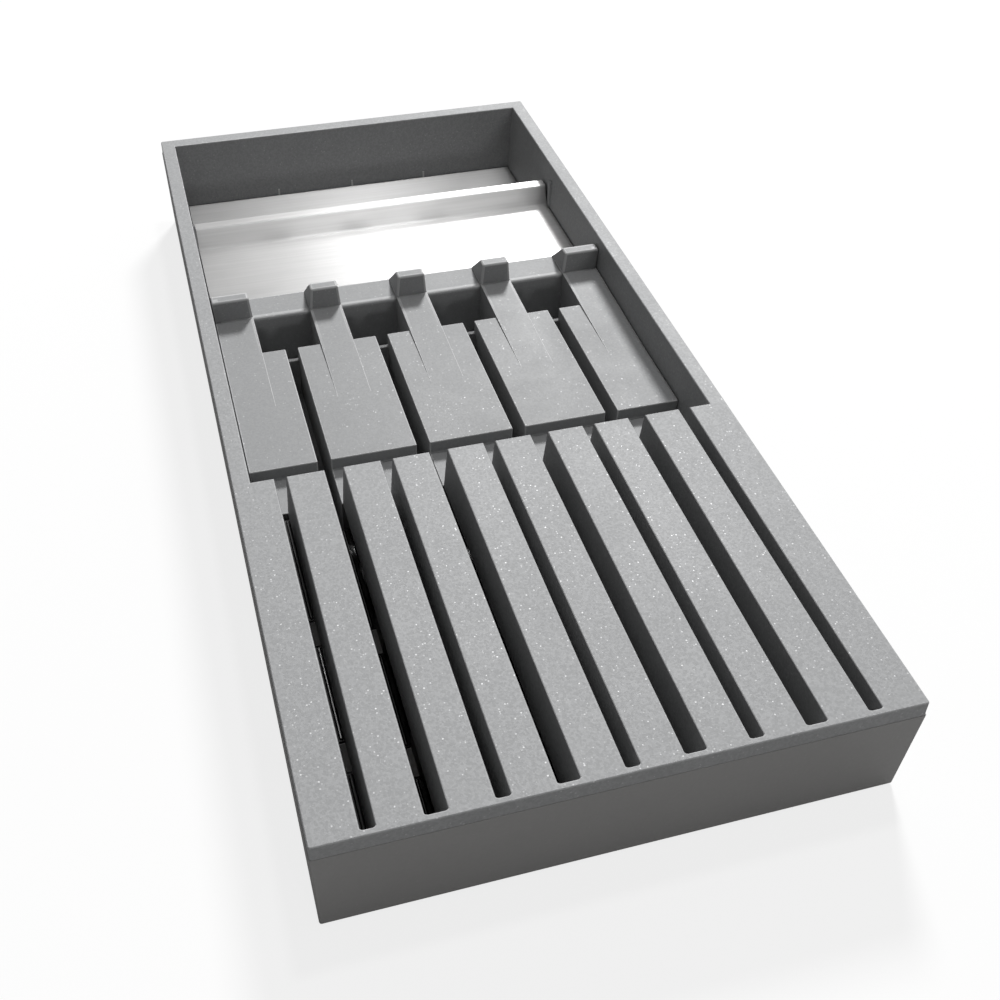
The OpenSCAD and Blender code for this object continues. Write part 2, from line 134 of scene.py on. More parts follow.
def startGroup(name, inputs, outputs, kind="ShaderNodeTree"):
    # a new node tree with named inputs and outputs
    tree = bpy.data.node_groups.new(name, kind)
    for label, socketKind, value in inputs:
        socket = tree.interface.new_socket(name=label, in_out="INPUT", socket_type=socketKind)
        if value is not None:
            socket.default_value = value
    for label, socketKind in outputs:
        tree.interface.new_socket(name=label, in_out="OUTPUT", socket_type=socketKind)
    return (tree, tree.nodes.new("NodeGroupInput").outputs,
            tree.nodes.new("NodeGroupOutput").inputs)


def useGroup(tree, group, inputs):
    return addNode(tree, "ShaderNodeGroup", inputs, node_tree=group).outputs


def grey(level, warm=0.0):
    return (level * (1 + warm), level, level * (1 - warm), 1.0)


# Shared effects, each a node group built once

effectValues = {
    "bumpScale": 0.7,        # cells of the mould's bumps for each one of its pits
    "bumpShare": 0.5,        # how much the bumps add to the pits
    "flakeCore": 0.28,       # a flake is even up to here, as a share of its cell
    "flakeRim": 0.5,         # and gone from here on
    "dustScale": 6.0,        # dust cells for each smudge
    "dustFrom": 0.9,         # cells above this share hold a speck
    "dustCore": 0.02,
    "dustRim": 0.05,
    "streaks": (1.0, 0.12),  # the fine lines and, fewer, the broad streaks over them
}


def makeMouldGrain():
    # spark-eroded mould surface: fine pits over slightly larger bumps
    tree, given, result = startGroup("mouldGrain", [
        ("Vector", "NodeSocketVector", None), ("Size", "NodeSocketFloat", 0.0003)],
        [("Height", "NodeSocketFloat")])
    scale = mathNode(tree, "DIVIDE", 1.0, given["Size"])
    pits = addNode(tree, "ShaderNodeTexNoise",
                   {"Vector": given["Vector"], "Scale": scale, "Detail": 3.0, "Roughness": 0.6})
    bumps = addNode(tree, "ShaderNodeTexVoronoi",
                    {"Vector": given["Vector"],
                     "Scale": mathNode(tree, "MULTIPLY", scale, effectValues["bumpScale"])},
                    feature="SMOOTH_F1")
    height = mathNode(tree, "MULTIPLY_ADD", bumps.outputs["Distance"], effectValues["bumpShare"],
                      pits.outputs[0])
    tree.links.new(height, result["Height"])
    return tree


def makeFlakes():
    # metal flakes in the plastic: single cells that are lighter or darker than the rest
    tree, given, result = startGroup("metalFlakes", [
        ("Vector", "NodeSocketVector", None), ("Size", "NodeSocketFloat", 0.0003),
        ("Share", "NodeSocketFloat", 0.1)],
        [("Bright", "NodeSocketFloat"), ("Tone", "NodeSocketFloat")])
    scale = mathNode(tree, "DIVIDE", 1.0, given["Size"])
    cells = addNode(tree, "ShaderNodeTexVoronoi", {"Vector": given["Vector"], "Scale": scale},
                    feature="F1")
    parts = addNode(tree, "ShaderNodeSeparateColor", {0: cells.outputs["Color"]})
    limit = mathNode(tree, "SUBTRACT", 1.0, given["Share"])
    chosen = mathNode(tree, "GREATER_THAN", parts.outputs[0], limit)
    flake = ramp(tree, cells.outputs["Distance"], effectValues["flakeCore"],
                 effectValues["flakeRim"], 1.0, 0.0)
    strength = mathNode(tree, "MULTIPLY", chosen, flake)
    strength = mathNode(tree, "MULTIPLY", strength, parts.outputs[1])
    tree.links.new(strength, result["Bright"])
    tree.links.new(parts.outputs[2], result["Tone"])
    return tree


def makeHandling():
    # uneven sheen from handling, and a few dust specks
    tree, given, result = startGroup("handling", [
        ("Vector", "NodeSocketVector", None), ("Size", "NodeSocketFloat", 0.03)],
        [("Smudge", "NodeSocketFloat"), ("Dust", "NodeSocketFloat")])
    scale = mathNode(tree, "DIVIDE", 1.0, given["Size"])
    smudge = addNode(tree, "ShaderNodeTexNoise",
                     {"Vector": given["Vector"], "Scale": scale, "Detail": 4.0, "Roughness": 0.55,
                      "Distortion": 0.6})
    specks = addNode(tree, "ShaderNodeTexVoronoi",
                     {"Vector": given["Vector"],
                      "Scale": mathNode(tree, "MULTIPLY", scale, effectValues["dustScale"])})
    cell = addNode(tree, "ShaderNodeSeparateColor", {0: specks.outputs["Color"]})
    rare = mathNode(tree, "GREATER_THAN", cell.outputs[0], effectValues["dustFrom"])
    near = ramp(tree, specks.outputs["Distance"], effectValues["dustCore"],
                effectValues["dustRim"], 1.0, 0.0)
    tree.links.new(smudge.outputs[0], result["Smudge"])
    tree.links.new(mathNode(tree, "MULTIPLY", rare, near), result["Dust"])
    return tree


def makeBrushed():
    # long fine scratches that run along X
    tree, given, result = startGroup("brushedLines", [
        ("Vector", "NodeSocketVector", None), ("Width", "NodeSocketFloat", 0.00012),
        ("Length", "NodeSocketFloat", 0.05)],
        [("Lines", "NodeSocketFloat"), ("Streaks", "NodeSocketFloat")])
    across = mathNode(tree, "DIVIDE", 1.0, given["Width"])
    along = mathNode(tree, "DIVIDE", 1.0, given["Length"])
    outputs = []
    for share in effectValues["streaks"]:
        wide = mathNode(tree, "MULTIPLY", across, share)
        stretch = addNode(tree, "ShaderNodeCombineXYZ", {0: along, 1: wide, 2: wide})
        place = addNode(tree, "ShaderNodeVectorMath", {0: given["Vector"], 1: stretch.outputs[0]},
                        operation="MULTIPLY")
        noise = addNode(tree, "ShaderNodeTexNoise",
                        {"Vector": place.outputs[0], "Scale": 1.0, "Detail": 2.0})
        outputs.append(noise.outputs[0])
    tree.links.new(outputs[0], result["Lines"])
    tree.links.new(outputs[1], result["Streaks"])
    return tree


def makeLipHighlights():
    # painted highlights in narrow borders along the raised strips, at their posts' feet and along the
    # saddles' fronts
    tree, given, result = startGroup("lipBorders", [
        ("Vector", "NodeSocketVector", None), ("Pitch", "NodeSocketFloat", 0.0362),
        ("Half Width", "NodeSocketFloat", 0.0065), ("Border", "NodeSocketFloat", 0.0011),
        ("Foot", "NodeSocketFloat", 0.0606), ("Saddle", "NodeSocketFloat", 0.0621),
        ("Fade", "NodeSocketFloat", 0.035), ("Above", "NodeSocketFloat", 0.0264),
        ("Reach", "NodeSocketFloat", 0.07)],
        [("Mask", "NodeSocketFloat")])
    part = addNode(tree, "ShaderNodeSeparateXYZ", {0: given["Vector"]}).outputs
    aside = mathNode(tree, "ABSOLUTE", part[0])
    across = mathNode(tree, "PINGPONG", aside, mathNode(tree, "MULTIPLY", given["Pitch"], 0.5))
    onStrip = mathNode(tree, "LESS_THAN", across, given["Half Width"])
    beside = mathNode(tree, "GREATER_THAN", across,
                      mathNode(tree, "SUBTRACT", given["Half Width"], given["Border"]))
    beside = mathNode(tree, "MULTIPLY", beside, mathNode(tree, "LESS_THAN", aside, given["Reach"]))
    below = mathNode(tree, "LESS_THAN", part[1], given["Foot"])
    atFoot = mathNode(tree, "GREATER_THAN", part[1],
                      mathNode(tree, "SUBTRACT", given["Foot"], given["Border"]))
    fadeFrom = mathNode(tree, "SUBTRACT", given["Foot"], given["Fade"])
    fade = mathNode(tree, "MULTIPLY", below, ramp(tree, part[1], fadeFrom, given["Foot"]))
    strip = mathNode(tree, "MULTIPLY", mathNode(tree, "MAXIMUM", beside, atFoot),
                     mathNode(tree, "MULTIPLY", onStrip, fade))
    front = mathNode(tree, "COMPARE", part[1], given["Saddle"], given["Border"])
    saddle = mathNode(tree, "MULTIPLY", front, mathNode(tree, "SUBTRACT", 1.0, onStrip))
    high = mathNode(tree, "GREATER_THAN", part[2], given["Above"])
    tree.links.new(mathNode(tree, "MULTIPLY", mathNode(tree, "MAXIMUM", strip, saddle), high),
                   result["Mask"])
    return tree


mouldGrain = makeMouldGrain()
metalFlakes = makeFlakes()
handling = makeHandling()
brushedLines = makeBrushed()
lipBorders = makeLipHighlights()

# Materials


def startMaterial(name):
    material = bpy.data.materials.new(name)
    material.use_nodes = True
    tree = material.node_tree
    shader = tree.nodes["Principled BSDF"]
    place = tree.nodes.new("ShaderNodeTexCoord").outputs["Object"]
    return material, tree, shader, place


def faceMark(tree, name):
    return addNode(tree, "ShaderNodeAttribute", attribute_name=name).outputs["Fac"]


def noiseTo(tree, noise, low, high, reach=0.2):
    # turns a noise, which lies round a half, into a value from low to high
    return ramp(tree, noise, 0.5 - reach, 0.5 + reach, low, high)


def linkBump(tree, shader, height, strength, distance):
    bump = addNode(tree, "ShaderNodeBump",
                   {"Height": height, "Strength": strength, "Distance": distance})
    tree.links.new(bump.outputs[0], shader.inputs["Normal"])


def makePlastic(name, values):
    material, tree, shader, place = startMaterial(name)
    grain = useGroup(tree, mouldGrain, {"Vector": place, "Size": values["grainSize"]})
    flakes = useGroup(tree, metalFlakes, {"Vector": place, "Size": values["flakeSize"],
                                          "Share": values["flakeShare"]})
    worn = useGroup(tree, handling, {"Vector": place, "Size": values["smudgeSize"]})
    tone = ramp(tree, flakes["Tone"], 0.0, 1.0, 1 - values["toneSpread"],
                1 + values["toneSpread"])
    smudged = noiseTo(tree, worn["Smudge"], 1 - values["smudgeSpread"],
                      1 + values["smudgeSpread"])
    tone = mathNode(tree, "MULTIPLY", tone, smudged)
    colour = addNode(tree, "ShaderNodeVectorMath", {0: values["colour"][:3], 1: tone},
                     operation="MULTIPLY").outputs[0]
    colour = mixColour(tree, mathNode(tree, "MULTIPLY", flakes["Bright"], values["flakeLight"]),
                       colour, values["flakeColour"])
    # painted highlight: rounded edge faces, the nubs and the lip borders are mixed toward the light
    # flake colour
    edge = faceMark(tree, "edgeShare")
    if "lipHighlight" in values:
        lip = useGroup(tree, lipBorders, {"Vector": place})["Mask"]
        edge = mathNode(tree, "MULTIPLY_ADD", lip, values["lipHighlight"], edge, clamp=True)
    colour = mixColour(tree, mathNode(tree, "MULTIPLY", edge, values["edgeHighlight"]), colour,
                       values["flakeColour"])
    # painted shade: the marked steep inside faces and sills are mixed toward black
    colour = mixColour(tree, mathNode(tree, "MULTIPLY", faceMark(tree, "wallShare"),
                                      values["paintedWallShade"]), colour, grey(0.0))
    colour = mixColour(tree, mathNode(tree, "MULTIPLY", worn["Dust"], values["dust"]),
                       colour, grey(0.8))
    tree.links.new(colour, shader.inputs["Base Color"])
    rough = noiseTo(tree, worn["Smudge"], values["roughness"] - values["roughSpread"],
                    values["roughness"] + values["roughSpread"], reach=0.25)
    tree.links.new(rough, shader.inputs["Roughness"])
    metal = mathNode(tree, "MULTIPLY_ADD", flakes["Tone"],
                     2 * values["metal"] * values["metalSpread"],
                     values["metal"] * (1 - values["metalSpread"]))
    metal = mathNode(tree, "MULTIPLY_ADD", flakes["Bright"], values["flakeMetal"], metal,
                     clamp=True)
    tree.links.new(metal, shader.inputs["Metallic"])
    shader.inputs["Specular IOR Level"].default_value = values["specular"]
    linkBump(tree, shader, grain["Height"], values["grainShare"], values["grainDepth"])
    return material


coverGrey = makePlastic("coverGrey", {
    "colour": grey(0.38, -0.012), "flakeColour": grey(0.85), "grainSize": 0.00035,
    "grainDepth": 0.00006, "grainShare": 0.5, "flakeSize": 0.0007, "flakeShare": 0.07,
    "flakeLight": 0.35, "flakeMetal": 0.25, "metal": 0.02, "metalSpread": 0.5, "toneSpread": 0.07,
    "smudgeSize": 0.04, "smudgeSpread": 0.015, "roughness": 0.5, "roughSpread": 0.05,
    "specular": 0.12, "edgeHighlight": 0.12, "paintedWallShade": 0.3, "dust": 0.3})
restGrey = makePlastic("restGrey", {
    "colour": grey(0.33, -0.012), "flakeColour": grey(0.85), "grainSize": 0.00035,
    "grainDepth": 0.00005, "grainShare": 0.4, "flakeSize": 0.0007, "flakeShare": 0.05,
    "flakeLight": 0.3, "flakeMetal": 0.2, "metal": 0.02, "metalSpread": 0.4, "toneSpread": 0.035,
    "smudgeSize": 0.03, "smudgeSpread": 0.015, "roughness": 0.5, "roughSpread": 0.05,
    "specular": 0.12, "edgeHighlight": 0.4, "paintedWallShade": 0.2, "dust": 0.4, "lipHighlight": 0.6})
shellGrey = makePlastic("shellGrey", {
    "colour": grey(0.37, 0.012), "flakeColour": grey(0.6), "grainSize": 0.0005,
    "grainDepth": 0.00005, "grainShare": 0.3, "flakeSize": 0.0008, "flakeShare": 0.03,
    "flakeLight": 0.2, "flakeMetal": 0.1, "metal": 0.01, "metalSpread": 0.3, "toneSpread": 0.015,
    "smudgeSize": 0.05, "smudgeSpread": 0.015, "roughness": 0.55, "roughSpread": 0.05,
    "specular": 0.12, "edgeHighlight": 0.35, "paintedWallShade": 0.75, "dust": 0.3})


def makeBlackGloss(name, values):
    material, tree, shader, place = startMaterial(name)
    grain = useGroup(tree, mouldGrain, {"Vector": place, "Size": values["grainSize"]})
    worn = useGroup(tree, handling, {"Vector": place, "Size": values["smudgeSize"]})
    colour = mixColour(tree, mathNode(tree, "MULTIPLY", worn["Dust"], values["dust"]),
                       values["colour"], values["dustColour"])
    # painted highlight: marked rod tops turn light and metallic
    rodHighlight = mathNode(tree, "MULTIPLY", faceMark(tree, "rubShare"), values["rodHighlight"])
    colour = mixColour(tree, rodHighlight, colour, values["rodHighlightColour"])
    tree.links.new(rodHighlight, shader.inputs["Metallic"])
    tree.links.new(colour, shader.inputs["Base Color"])
    rough = noiseTo(tree, worn["Smudge"], values["roughness"],
                    values["roughness"] + values["roughSpread"])
    tree.links.new(rough, shader.inputs["Roughness"])
    linkBump(tree, shader, grain["Height"], values["grainShare"], values["grainDepth"])
    return material


def makeSteel(name, values):
    material, tree, shader, place = startMaterial(name)
    lines = useGroup(tree, brushedLines, {"Vector": place, "Width": values["lineWidth"]})
    worn = useGroup(tree, handling, {"Vector": place, "Size": values["smudgeSize"]})
    tone = noiseTo(tree, lines["Streaks"], *values["streakTones"], reach=0.3)
    tone = mathNode(tree, "MULTIPLY", tone, noiseTo(tree, worn["Smudge"], *values["smudgeTones"]))
    shaded = addNode(tree, "ShaderNodeVectorMath", {0: values["colour"][:3], 1: tone},
                     operation="MULTIPLY")
    tree.links.new(shaded.outputs[0], shader.inputs["Base Color"])
    shader.inputs["Metallic"].default_value = 1.0
    rough = noiseTo(tree, worn["Smudge"], values["roughness"] - values["roughSpread"],
                    values["roughness"] + values["roughSpread"])
    lined = noiseTo(tree, lines["Lines"], -values["lineRough"], values["lineRough"], reach=0.3)
    rough = mathNode(tree, "ADD", lined, rough)
    tree.links.new(rough, shader.inputs["Roughness"])
    if values["stretch"]:
        # U of the piece's map runs across the brushing, the way in which reflections are drawn out
        shader.inputs["Anisotropic"].default_value = values["stretch"]
        across = addNode(tree, "ShaderNodeTangent", direction_type="UV_MAP", uv_map="sheetMap")
        tree.links.new(across.outputs[0], shader.inputs["Tangent"])
    linkBump(tree, shader, lines["Lines"], values["lineShare"], values["lineDepth"])
    return material


def makeRubber(name, values):
    material, tree, shader, place = startMaterial(name)
    grain = useGroup(tree, mouldGrain, {"Vector": place, "Size": values["grainSize"]})
    worn = useGroup(tree, handling, {"Vector": place, "Size": values["smudgeSize"]})
    colour = mixColour(tree, ramp(tree, worn["Smudge"], 0.35, 0.75, 0.0, values["wornShare"]),
                       values["colour"], values["wornColour"])
    tree.links.new(colour, shader.inputs["Base Color"])
    rough = noiseTo(tree, worn["Smudge"], values["roughness"],
                    values["roughness"] + values["roughSpread"])
    tree.links.new(rough, shader.inputs["Roughness"])
    linkBump(tree, shader, grain["Height"], values["grainShare"], values["grainDepth"])
    return material


bedBlack = makeBlackGloss("bedBlack", {
    "colour": grey(0.012), "roughness": 0.16, "roughSpread": 0.1, "grainSize": 0.002,
    "grainShare": 0.05, "grainDepth": 0.00005, "smudgeSize": 0.01, "dust": 0.4,
    "dustColour": grey(0.3), "rodHighlight": 0.8, "rodHighlightColour": grey(0.8)})
traySteel = makeSteel("traySteel", {
    "colour": grey(0.49, 0.004), "roughness": 0.45, "roughSpread": 0.03, "lineWidth": 0.00015,
    "lineShare": 0.12, "lineDepth": 0.00003, "lineRough": 0.04, "streakTones": (0.94, 1.03),
    "smudgeSize": 0.03, "smudgeTones": (0.97, 1.02), "stretch": 1.0})
screwZinc = makeSteel("screwZinc", {
    "colour": grey(0.62, 0.01), "roughness": 0.35, "roughSpread": 0.03, "lineWidth": 0.0003,
    "lineShare": 0.12, "lineDepth": 0.00003, "lineRough": 0.04, "streakTones": (0.94, 1.03),
    "smudgeSize": 0.03, "smudgeTones": (0.97, 1.02), "stretch": 0.0})
footRubber = makeRubber("footRubber", {
    "colour": grey(0.035), "wornColour": grey(0.07), "wornShare": 0.5, "roughness": 0.65,
    "roughSpread": 0.15, "grainSize": 0.0004, "grainShare": 0.3, "grainDepth": 0.00008,
    "smudgeSize": 0.006})
print("materials ready")

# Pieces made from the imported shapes, with their edges rounded


def weldedCopy(nodeName, near=0.002, flat=0.4):
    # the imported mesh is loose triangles: join points within near mm, then join neighbours that
    # turn less than flat degrees into whole faces
    shape = bmesh.new()
    shape.from_mesh(frame["nodes"][nodeName].data)
    bmesh.ops.remove_doubles(shape, verts=shape.verts, dist=near * mm)
    bmesh.ops.dissolve_limit(shape, angle_limit=math.radians(flat), use_dissolve_boundaries=False,
                             verts=shape.verts, edges=shape.edges, delimit={"NORMAL"})
    return shape


def toMesh(shape, name):
    mesh = bpy.data.meshes.new(name)
    shape.to_mesh(mesh)
    shape.free()
    return mesh


def linkPiece(name, mesh, material):
    piece = bpy.data.objects.new(name, mesh)
    bpy.context.scene.collection.objects.link(piece)
    mesh.materials.clear()
    mesh.materials.append(material)
    return piece


def settle(piece):
    # replaces a piece's mesh by what its modifiers make of it
    made = bpy.data.meshes.new_from_object(piece.evaluated_get(
        bpy.context.evaluated_depsgraph_get()))
    piece.modifiers.clear()
    old = piece.data
    piece.data = made
    made.name = piece.name
    bpy.data.meshes.remove(old)


def partLargeFaces(mesh, area=10.0, flattest=0.1, steepest=3.0):
    # the crease between two large faces that nearly lie in one plane stays sharp
    shape = bmesh.new()
    shape.from_mesh(mesh)
    for edge in shape.edges:
        bend = math.degrees(edge.calc_face_angle(0))
        if len(edge.link_faces) == 2 and flattest < bend < steepest:
            if min(face.calc_area() for face in edge.link_faces) > area * mm * mm:
                edge.smooth = False
    shape.to_mesh(mesh)
    shape.free()


def smoothShade(piece, angle=35.0):
    # large flat faces keep their own normal, and the small round ones turn between them
    for face in piece.data.polygons:
        face.use_smooth = True
    piece.data.set_sharp_from_angle(angle=math.radians(angle))
    partLargeFaces(piece.data)
    weighted = piece.modifiers.new("weighted", "WEIGHTED_NORMAL")
    weighted.keep_sharp = True
    settle(piece)


# where the painted shade goes inside the holder, and where the nubs' painted highlight goes
wallValues = {"halfWidth": 83.0, "halfLength": 190.0, "steepest": 0.35, "flattest": 0.75,
              "nubs": (-36.2, 0.0, 36.2), "nubHalf": 0.6, "nubFront": 186.4, "nubTop": 14.0,
              "paintedNubHighlight": 6.0, "sillBack": (36.2, 38.4), "sillTop": (21.0, 22.0), "paintedSillShade": 2.8}


def markPaintedShadeAndHighlights(mesh):
    # painted shade: steep faces inside the holder are marked to be darkened where shade falls in the
    # recesses, and the low sills at the channels' ends darker still; the nubs on the back wall get a
    # painted highlight
    walls = []
    edges = mesh.attributes["edgeShare"].data
    values = wallValues
    for face in mesh.polygons:
        centre = face.center / mm
        inside = abs(centre.x) < values["halfWidth"] and abs(centre.y) < values["halfLength"]
        share = (values["flattest"] - abs(face.normal.z)) / (
            values["flattest"] - values["steepest"])
        share = float(inside) * min(max(share, 0.0), 1.0)
        # painted shade, darker still, on the channels' sills
        if values["sillBack"][0] < centre.y < values["sillBack"][1]:
            if values["sillTop"][0] < centre.z < values["sillTop"][1]:
                share = values["paintedSillShade"]
        walls.append(share)
        # painted highlight on the nubs of the back wall, stored with the edges' painted highlight
        if inside and centre.y > values["nubFront"] and centre.z < values["nubTop"]:
            if min(abs(centre.x - x) for x in values["nubs"]) < values["nubHalf"]:
                edges[face.index].value = values["paintedNubHighlight"]
    mesh.attributes.new("wallShare", "FLOAT", "FACE").data.foreach_set("value", walls)


def roundEdges(piece, widest, segments):
    # rounds by each edge's bevel weight, and marks the new faces in edgeShare, which the plastics
    # paint as a highlight
    mesh = piece.data
    mesh.materials.append(mesh.materials[0])
    rounding = piece.modifiers.new("rounding", "BEVEL")
    rounding.limit_method = "WEIGHT"
    rounding.offset_type = "OFFSET"
    rounding.width = widest
    rounding.segments = segments
    rounding.use_clamp_overlap = False
    rounding.material = 1
    settle(piece)
    mesh = piece.data
    mark = mesh.attributes.new("edgeShare", "FLOAT", "FACE")
    mark.data.foreach_set("value", [float(face.material_index == 1) for face in mesh.polygons])
    for face in mesh.polygons:
        face.material_index = 0
    mesh.materials.pop(index=1)
    markPaintedShadeAndHighlights(mesh)
    smoothShade(piece)


def weighEdges(shape, widest, widthOf, sharpFrom=25):
    # gives each sharp edge the width, in mm, that its rounding gets
    weights = shape.edges.layers.float.new("bevel_weight_edge")
    for edge in shape.edges:
        if len(edge.link_faces) != 2 or math.degrees(edge.calc_face_angle(0)) < sharpFrom:
            continue
        a, b = (vert.co / mm for vert in edge.verts)
        edge[weights] = min(widthOf((a + b) / 2, b - a, edge.is_convex) * mm / widest, 1.0)


def register(piece, nodeName):
    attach(piece, frame["nodes"][nodeName]["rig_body"])
    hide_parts(nodeName)


def roundedPiece(nodeName, pieceName, material, widest, widthOf):
    shape = weldedCopy(nodeName)
    weighEdges(shape, widest, widthOf)
    piece = linkPiece(pieceName, toMesh(shape, pieceName), material)
    roundEdges(piece, widest, segments=3)
    register(piece, nodeName)


coverValues = {"top": 41.5, "near": 0.05, "rim": 0.45, "widest": 0.5}


def coverWidth(middle, way, convex):
    atTop = middle.z > coverValues["top"] - coverValues["near"]
    return coverValues["rim"] if atTop else 0.0


roundedPiece("top_cover", "topCover", coverGrey, coverValues["widest"] * mm,
             coverWidth)

shellValues = {"halfWidth": 88.5, "halfLength": 195.0, "foot": 0.5, "seam": 36.0, "sideLean": 1.04,
               "endLean": 2.65, "cornerRadius": 0.75, "leastRadius": 0.3, "footRounding": 0.7,
               "rimRounding": 0.12, "inset": 0.02, "widest": 0.5, "ribRounding": 0.5,
               "ribArea": (86, 190), "ribTops": (19, 21)}

quarterRound = [math.radians(22.5 * step) for step in range(5)]     # drawn in four steps


def roundedLoop(shape, z, halfWidth, halfLength, radius, steps=6):
    loop = []
    for quarter in range(4):
        sx = 1 if quarter in (0, 3) else -1
        sy = 1 if quarter in (0, 1) else -1
        for step in range(steps + 1):
            angle = math.radians(90 * (quarter + step / steps))
            loop.append(shape.verts.new(Vector((
                sx * (halfWidth - radius) + radius * math.cos(angle),
                sy * (halfLength - radius) + radius * math.sin(angle), z)) * mm))
    return loop


def loft(shape, loops):
    for low, high in zip(loops, loops[1:]):
        for i in range(len(low)):
            k = (i + 1) % len(low)
            shape.faces.new((low[i], low[k], high[k], high[i]))
    shape.faces.new(loops[0][::-1])
    shape.faces.new(loops[-1])


def makeShellEnvelope(values):
    # the shell's outside with round upright corners, a round foot and a round rim
    levels = []
    for turn in quarterRound:
        levels.append((values["foot"] + values["footRounding"] * (1 - math.cos(turn)),
                       values["footRounding"] * (1 - math.sin(turn))))
    for turn in quarterRound:
        levels.append((values["seam"] - values["rimRounding"] * (1 - math.sin(turn)),
                       values["rimRounding"] * (1 - math.cos(turn))))
    shape = bmesh.new()
    loops = []
    height = values["seam"] - values["foot"]
    for z, inset in levels:
        share = (values["seam"] - z) / height
        inset += values["inset"]
        loops.append(roundedLoop(
            shape, z, values["halfWidth"] - values["sideLean"] * share - inset,
            values["halfLength"] - values["endLean"] * share - inset,
            max(values["cornerRadius"] - inset, values["leastRadius"])))
    loft(shape, loops)
    return toMesh(shape, "shellEnvelope")


def shellWidth(middle, way, convex):
    halfWidth, halfLength = shellValues["ribArea"]
    low, high = shellValues["ribTops"]
    inside = abs(middle.x) < halfWidth and abs(middle.y) < halfLength
    return shellValues["ribRounding"] if inside and convex and low < middle.z < high else 0.0


def makeLowerShell(values):
    shape = weldedCopy("lower_shell")
    weighEdges(shape, values["widest"] * mm, shellWidth)
    piece = linkPiece("lowerShell", toMesh(shape, "lowerShell"), shellGrey)
    envelope = linkPiece("shellEnvelope", makeShellEnvelope(values), shellGrey)
    roundEdges(piece, values["widest"] * mm, segments=3)
    cut = piece.modifiers.new("outside", "BOOLEAN")
    cut.operation = "INTERSECT"
    cut.object = envelope
    cut.solver = "EXACT"
    settle(piece)
    bpy.data.objects.remove(envelope)
    smoothShade(piece)
    register(piece, "lower_shell")


makeLowerShell(shellValues)

restValues = {
    "widest": 0.9, "roundedFrom": 20, "post": 0.9, "postFrom": 30, "tongue": 0.4,
    # the thin ends of the raised strips stay nearly sharp
    "taper": 0.08, "taperHeights": (26.6, 27.9), "taperBack": 37.7,
    # the saddles' front edges
    "lip": 0.35, "lipHeights": (26.8, 27.2), "lipPlaces": (58.5, 62.0),
}


def restWidth(middle, way, convex):
    near, far = restValues["lipPlaces"]
    lipLow, lipHigh = restValues["lipHeights"]
    taperLow, taperHigh = restValues["taperHeights"]
    acrossLip = near < middle.y < far and abs(way.x) > abs(way.y) + abs(way.z)
    if middle.z < restValues["roundedFrom"] or not convex:
        return 0.0
    if acrossLip and lipLow < middle.z < lipHigh:
        return restValues["lip"]
    if taperLow < middle.z < taperHigh and middle.y < restValues["taperBack"]:
        return restValues["taper"]
    return restValues["post"] if middle.z > restValues["postFrom"] else restValues["tongue"]


roundedPiece("handle_rest", "handleRest", restGrey, restValues["widest"] * mm,
             restWidth)
print("moulded pieces ready")

# Steel tray: one folded sheet

trayValues = {
    "halfWidth": 80.7, "sideFoot": 79.52, "sideLean": 0.057, "thickness": 0.8, "front": 76.4,
    "shelfTop": 22.1, "step": 126.8, "bend": 1.5, "topFront": 129.6, "topBack": 135.8,
    "topHeight": 30.4, "topRadius": 1.2, "panTop": 10.1, "back": 187.1, "bendSteps": 10,
    "edgeRounding": 0.15, "sharpFrom": 60, "mapAlong": 10, "mapDown": 3,
}


def sheetPath(values):
    # points of the upper side and their normals, from the shelf's front edge to the back edge
    radius = values["topRadius"]
    footCentre = Vector((values["step"] - values["bend"], values["shelfTop"] + values["bend"]))
    frontCentre = Vector((values["topFront"] + radius, values["topHeight"] - radius))
    rearCentre = Vector((values["topBack"] - radius, values["topHeight"] - radius))
    gap = frontCentre - footCentre
    lean = math.asin((values["bend"] + radius) / gap.length) + math.atan2(gap.y, gap.x)
    backCentre = Vector((values["topBack"] + values["bend"], values["panTop"] + values["bend"]))
    path = [(Vector((values["front"], values["shelfTop"])), Vector((0, 1)))]

    def addBend(centre, reach, first, last):
        for i in range(values["bendSteps"] + 1):
            turn = first + (last - first) * i / values["bendSteps"]
            normal = Vector((-math.sin(turn), math.cos(turn)))
            path.append((centre + normal * reach, normal))

    addBend(footCentre, -values["bend"], 0, lean)
    addBend(frontCentre, radius, lean, 0)
    addBend(rearCentre, radius, 0, -math.pi / 2)
    addBend(backCentre, -values["bend"], -math.pi / 2, 0)
    path.append((Vector((values["back"], values["panTop"])), Vector((0, 1))))
    return path


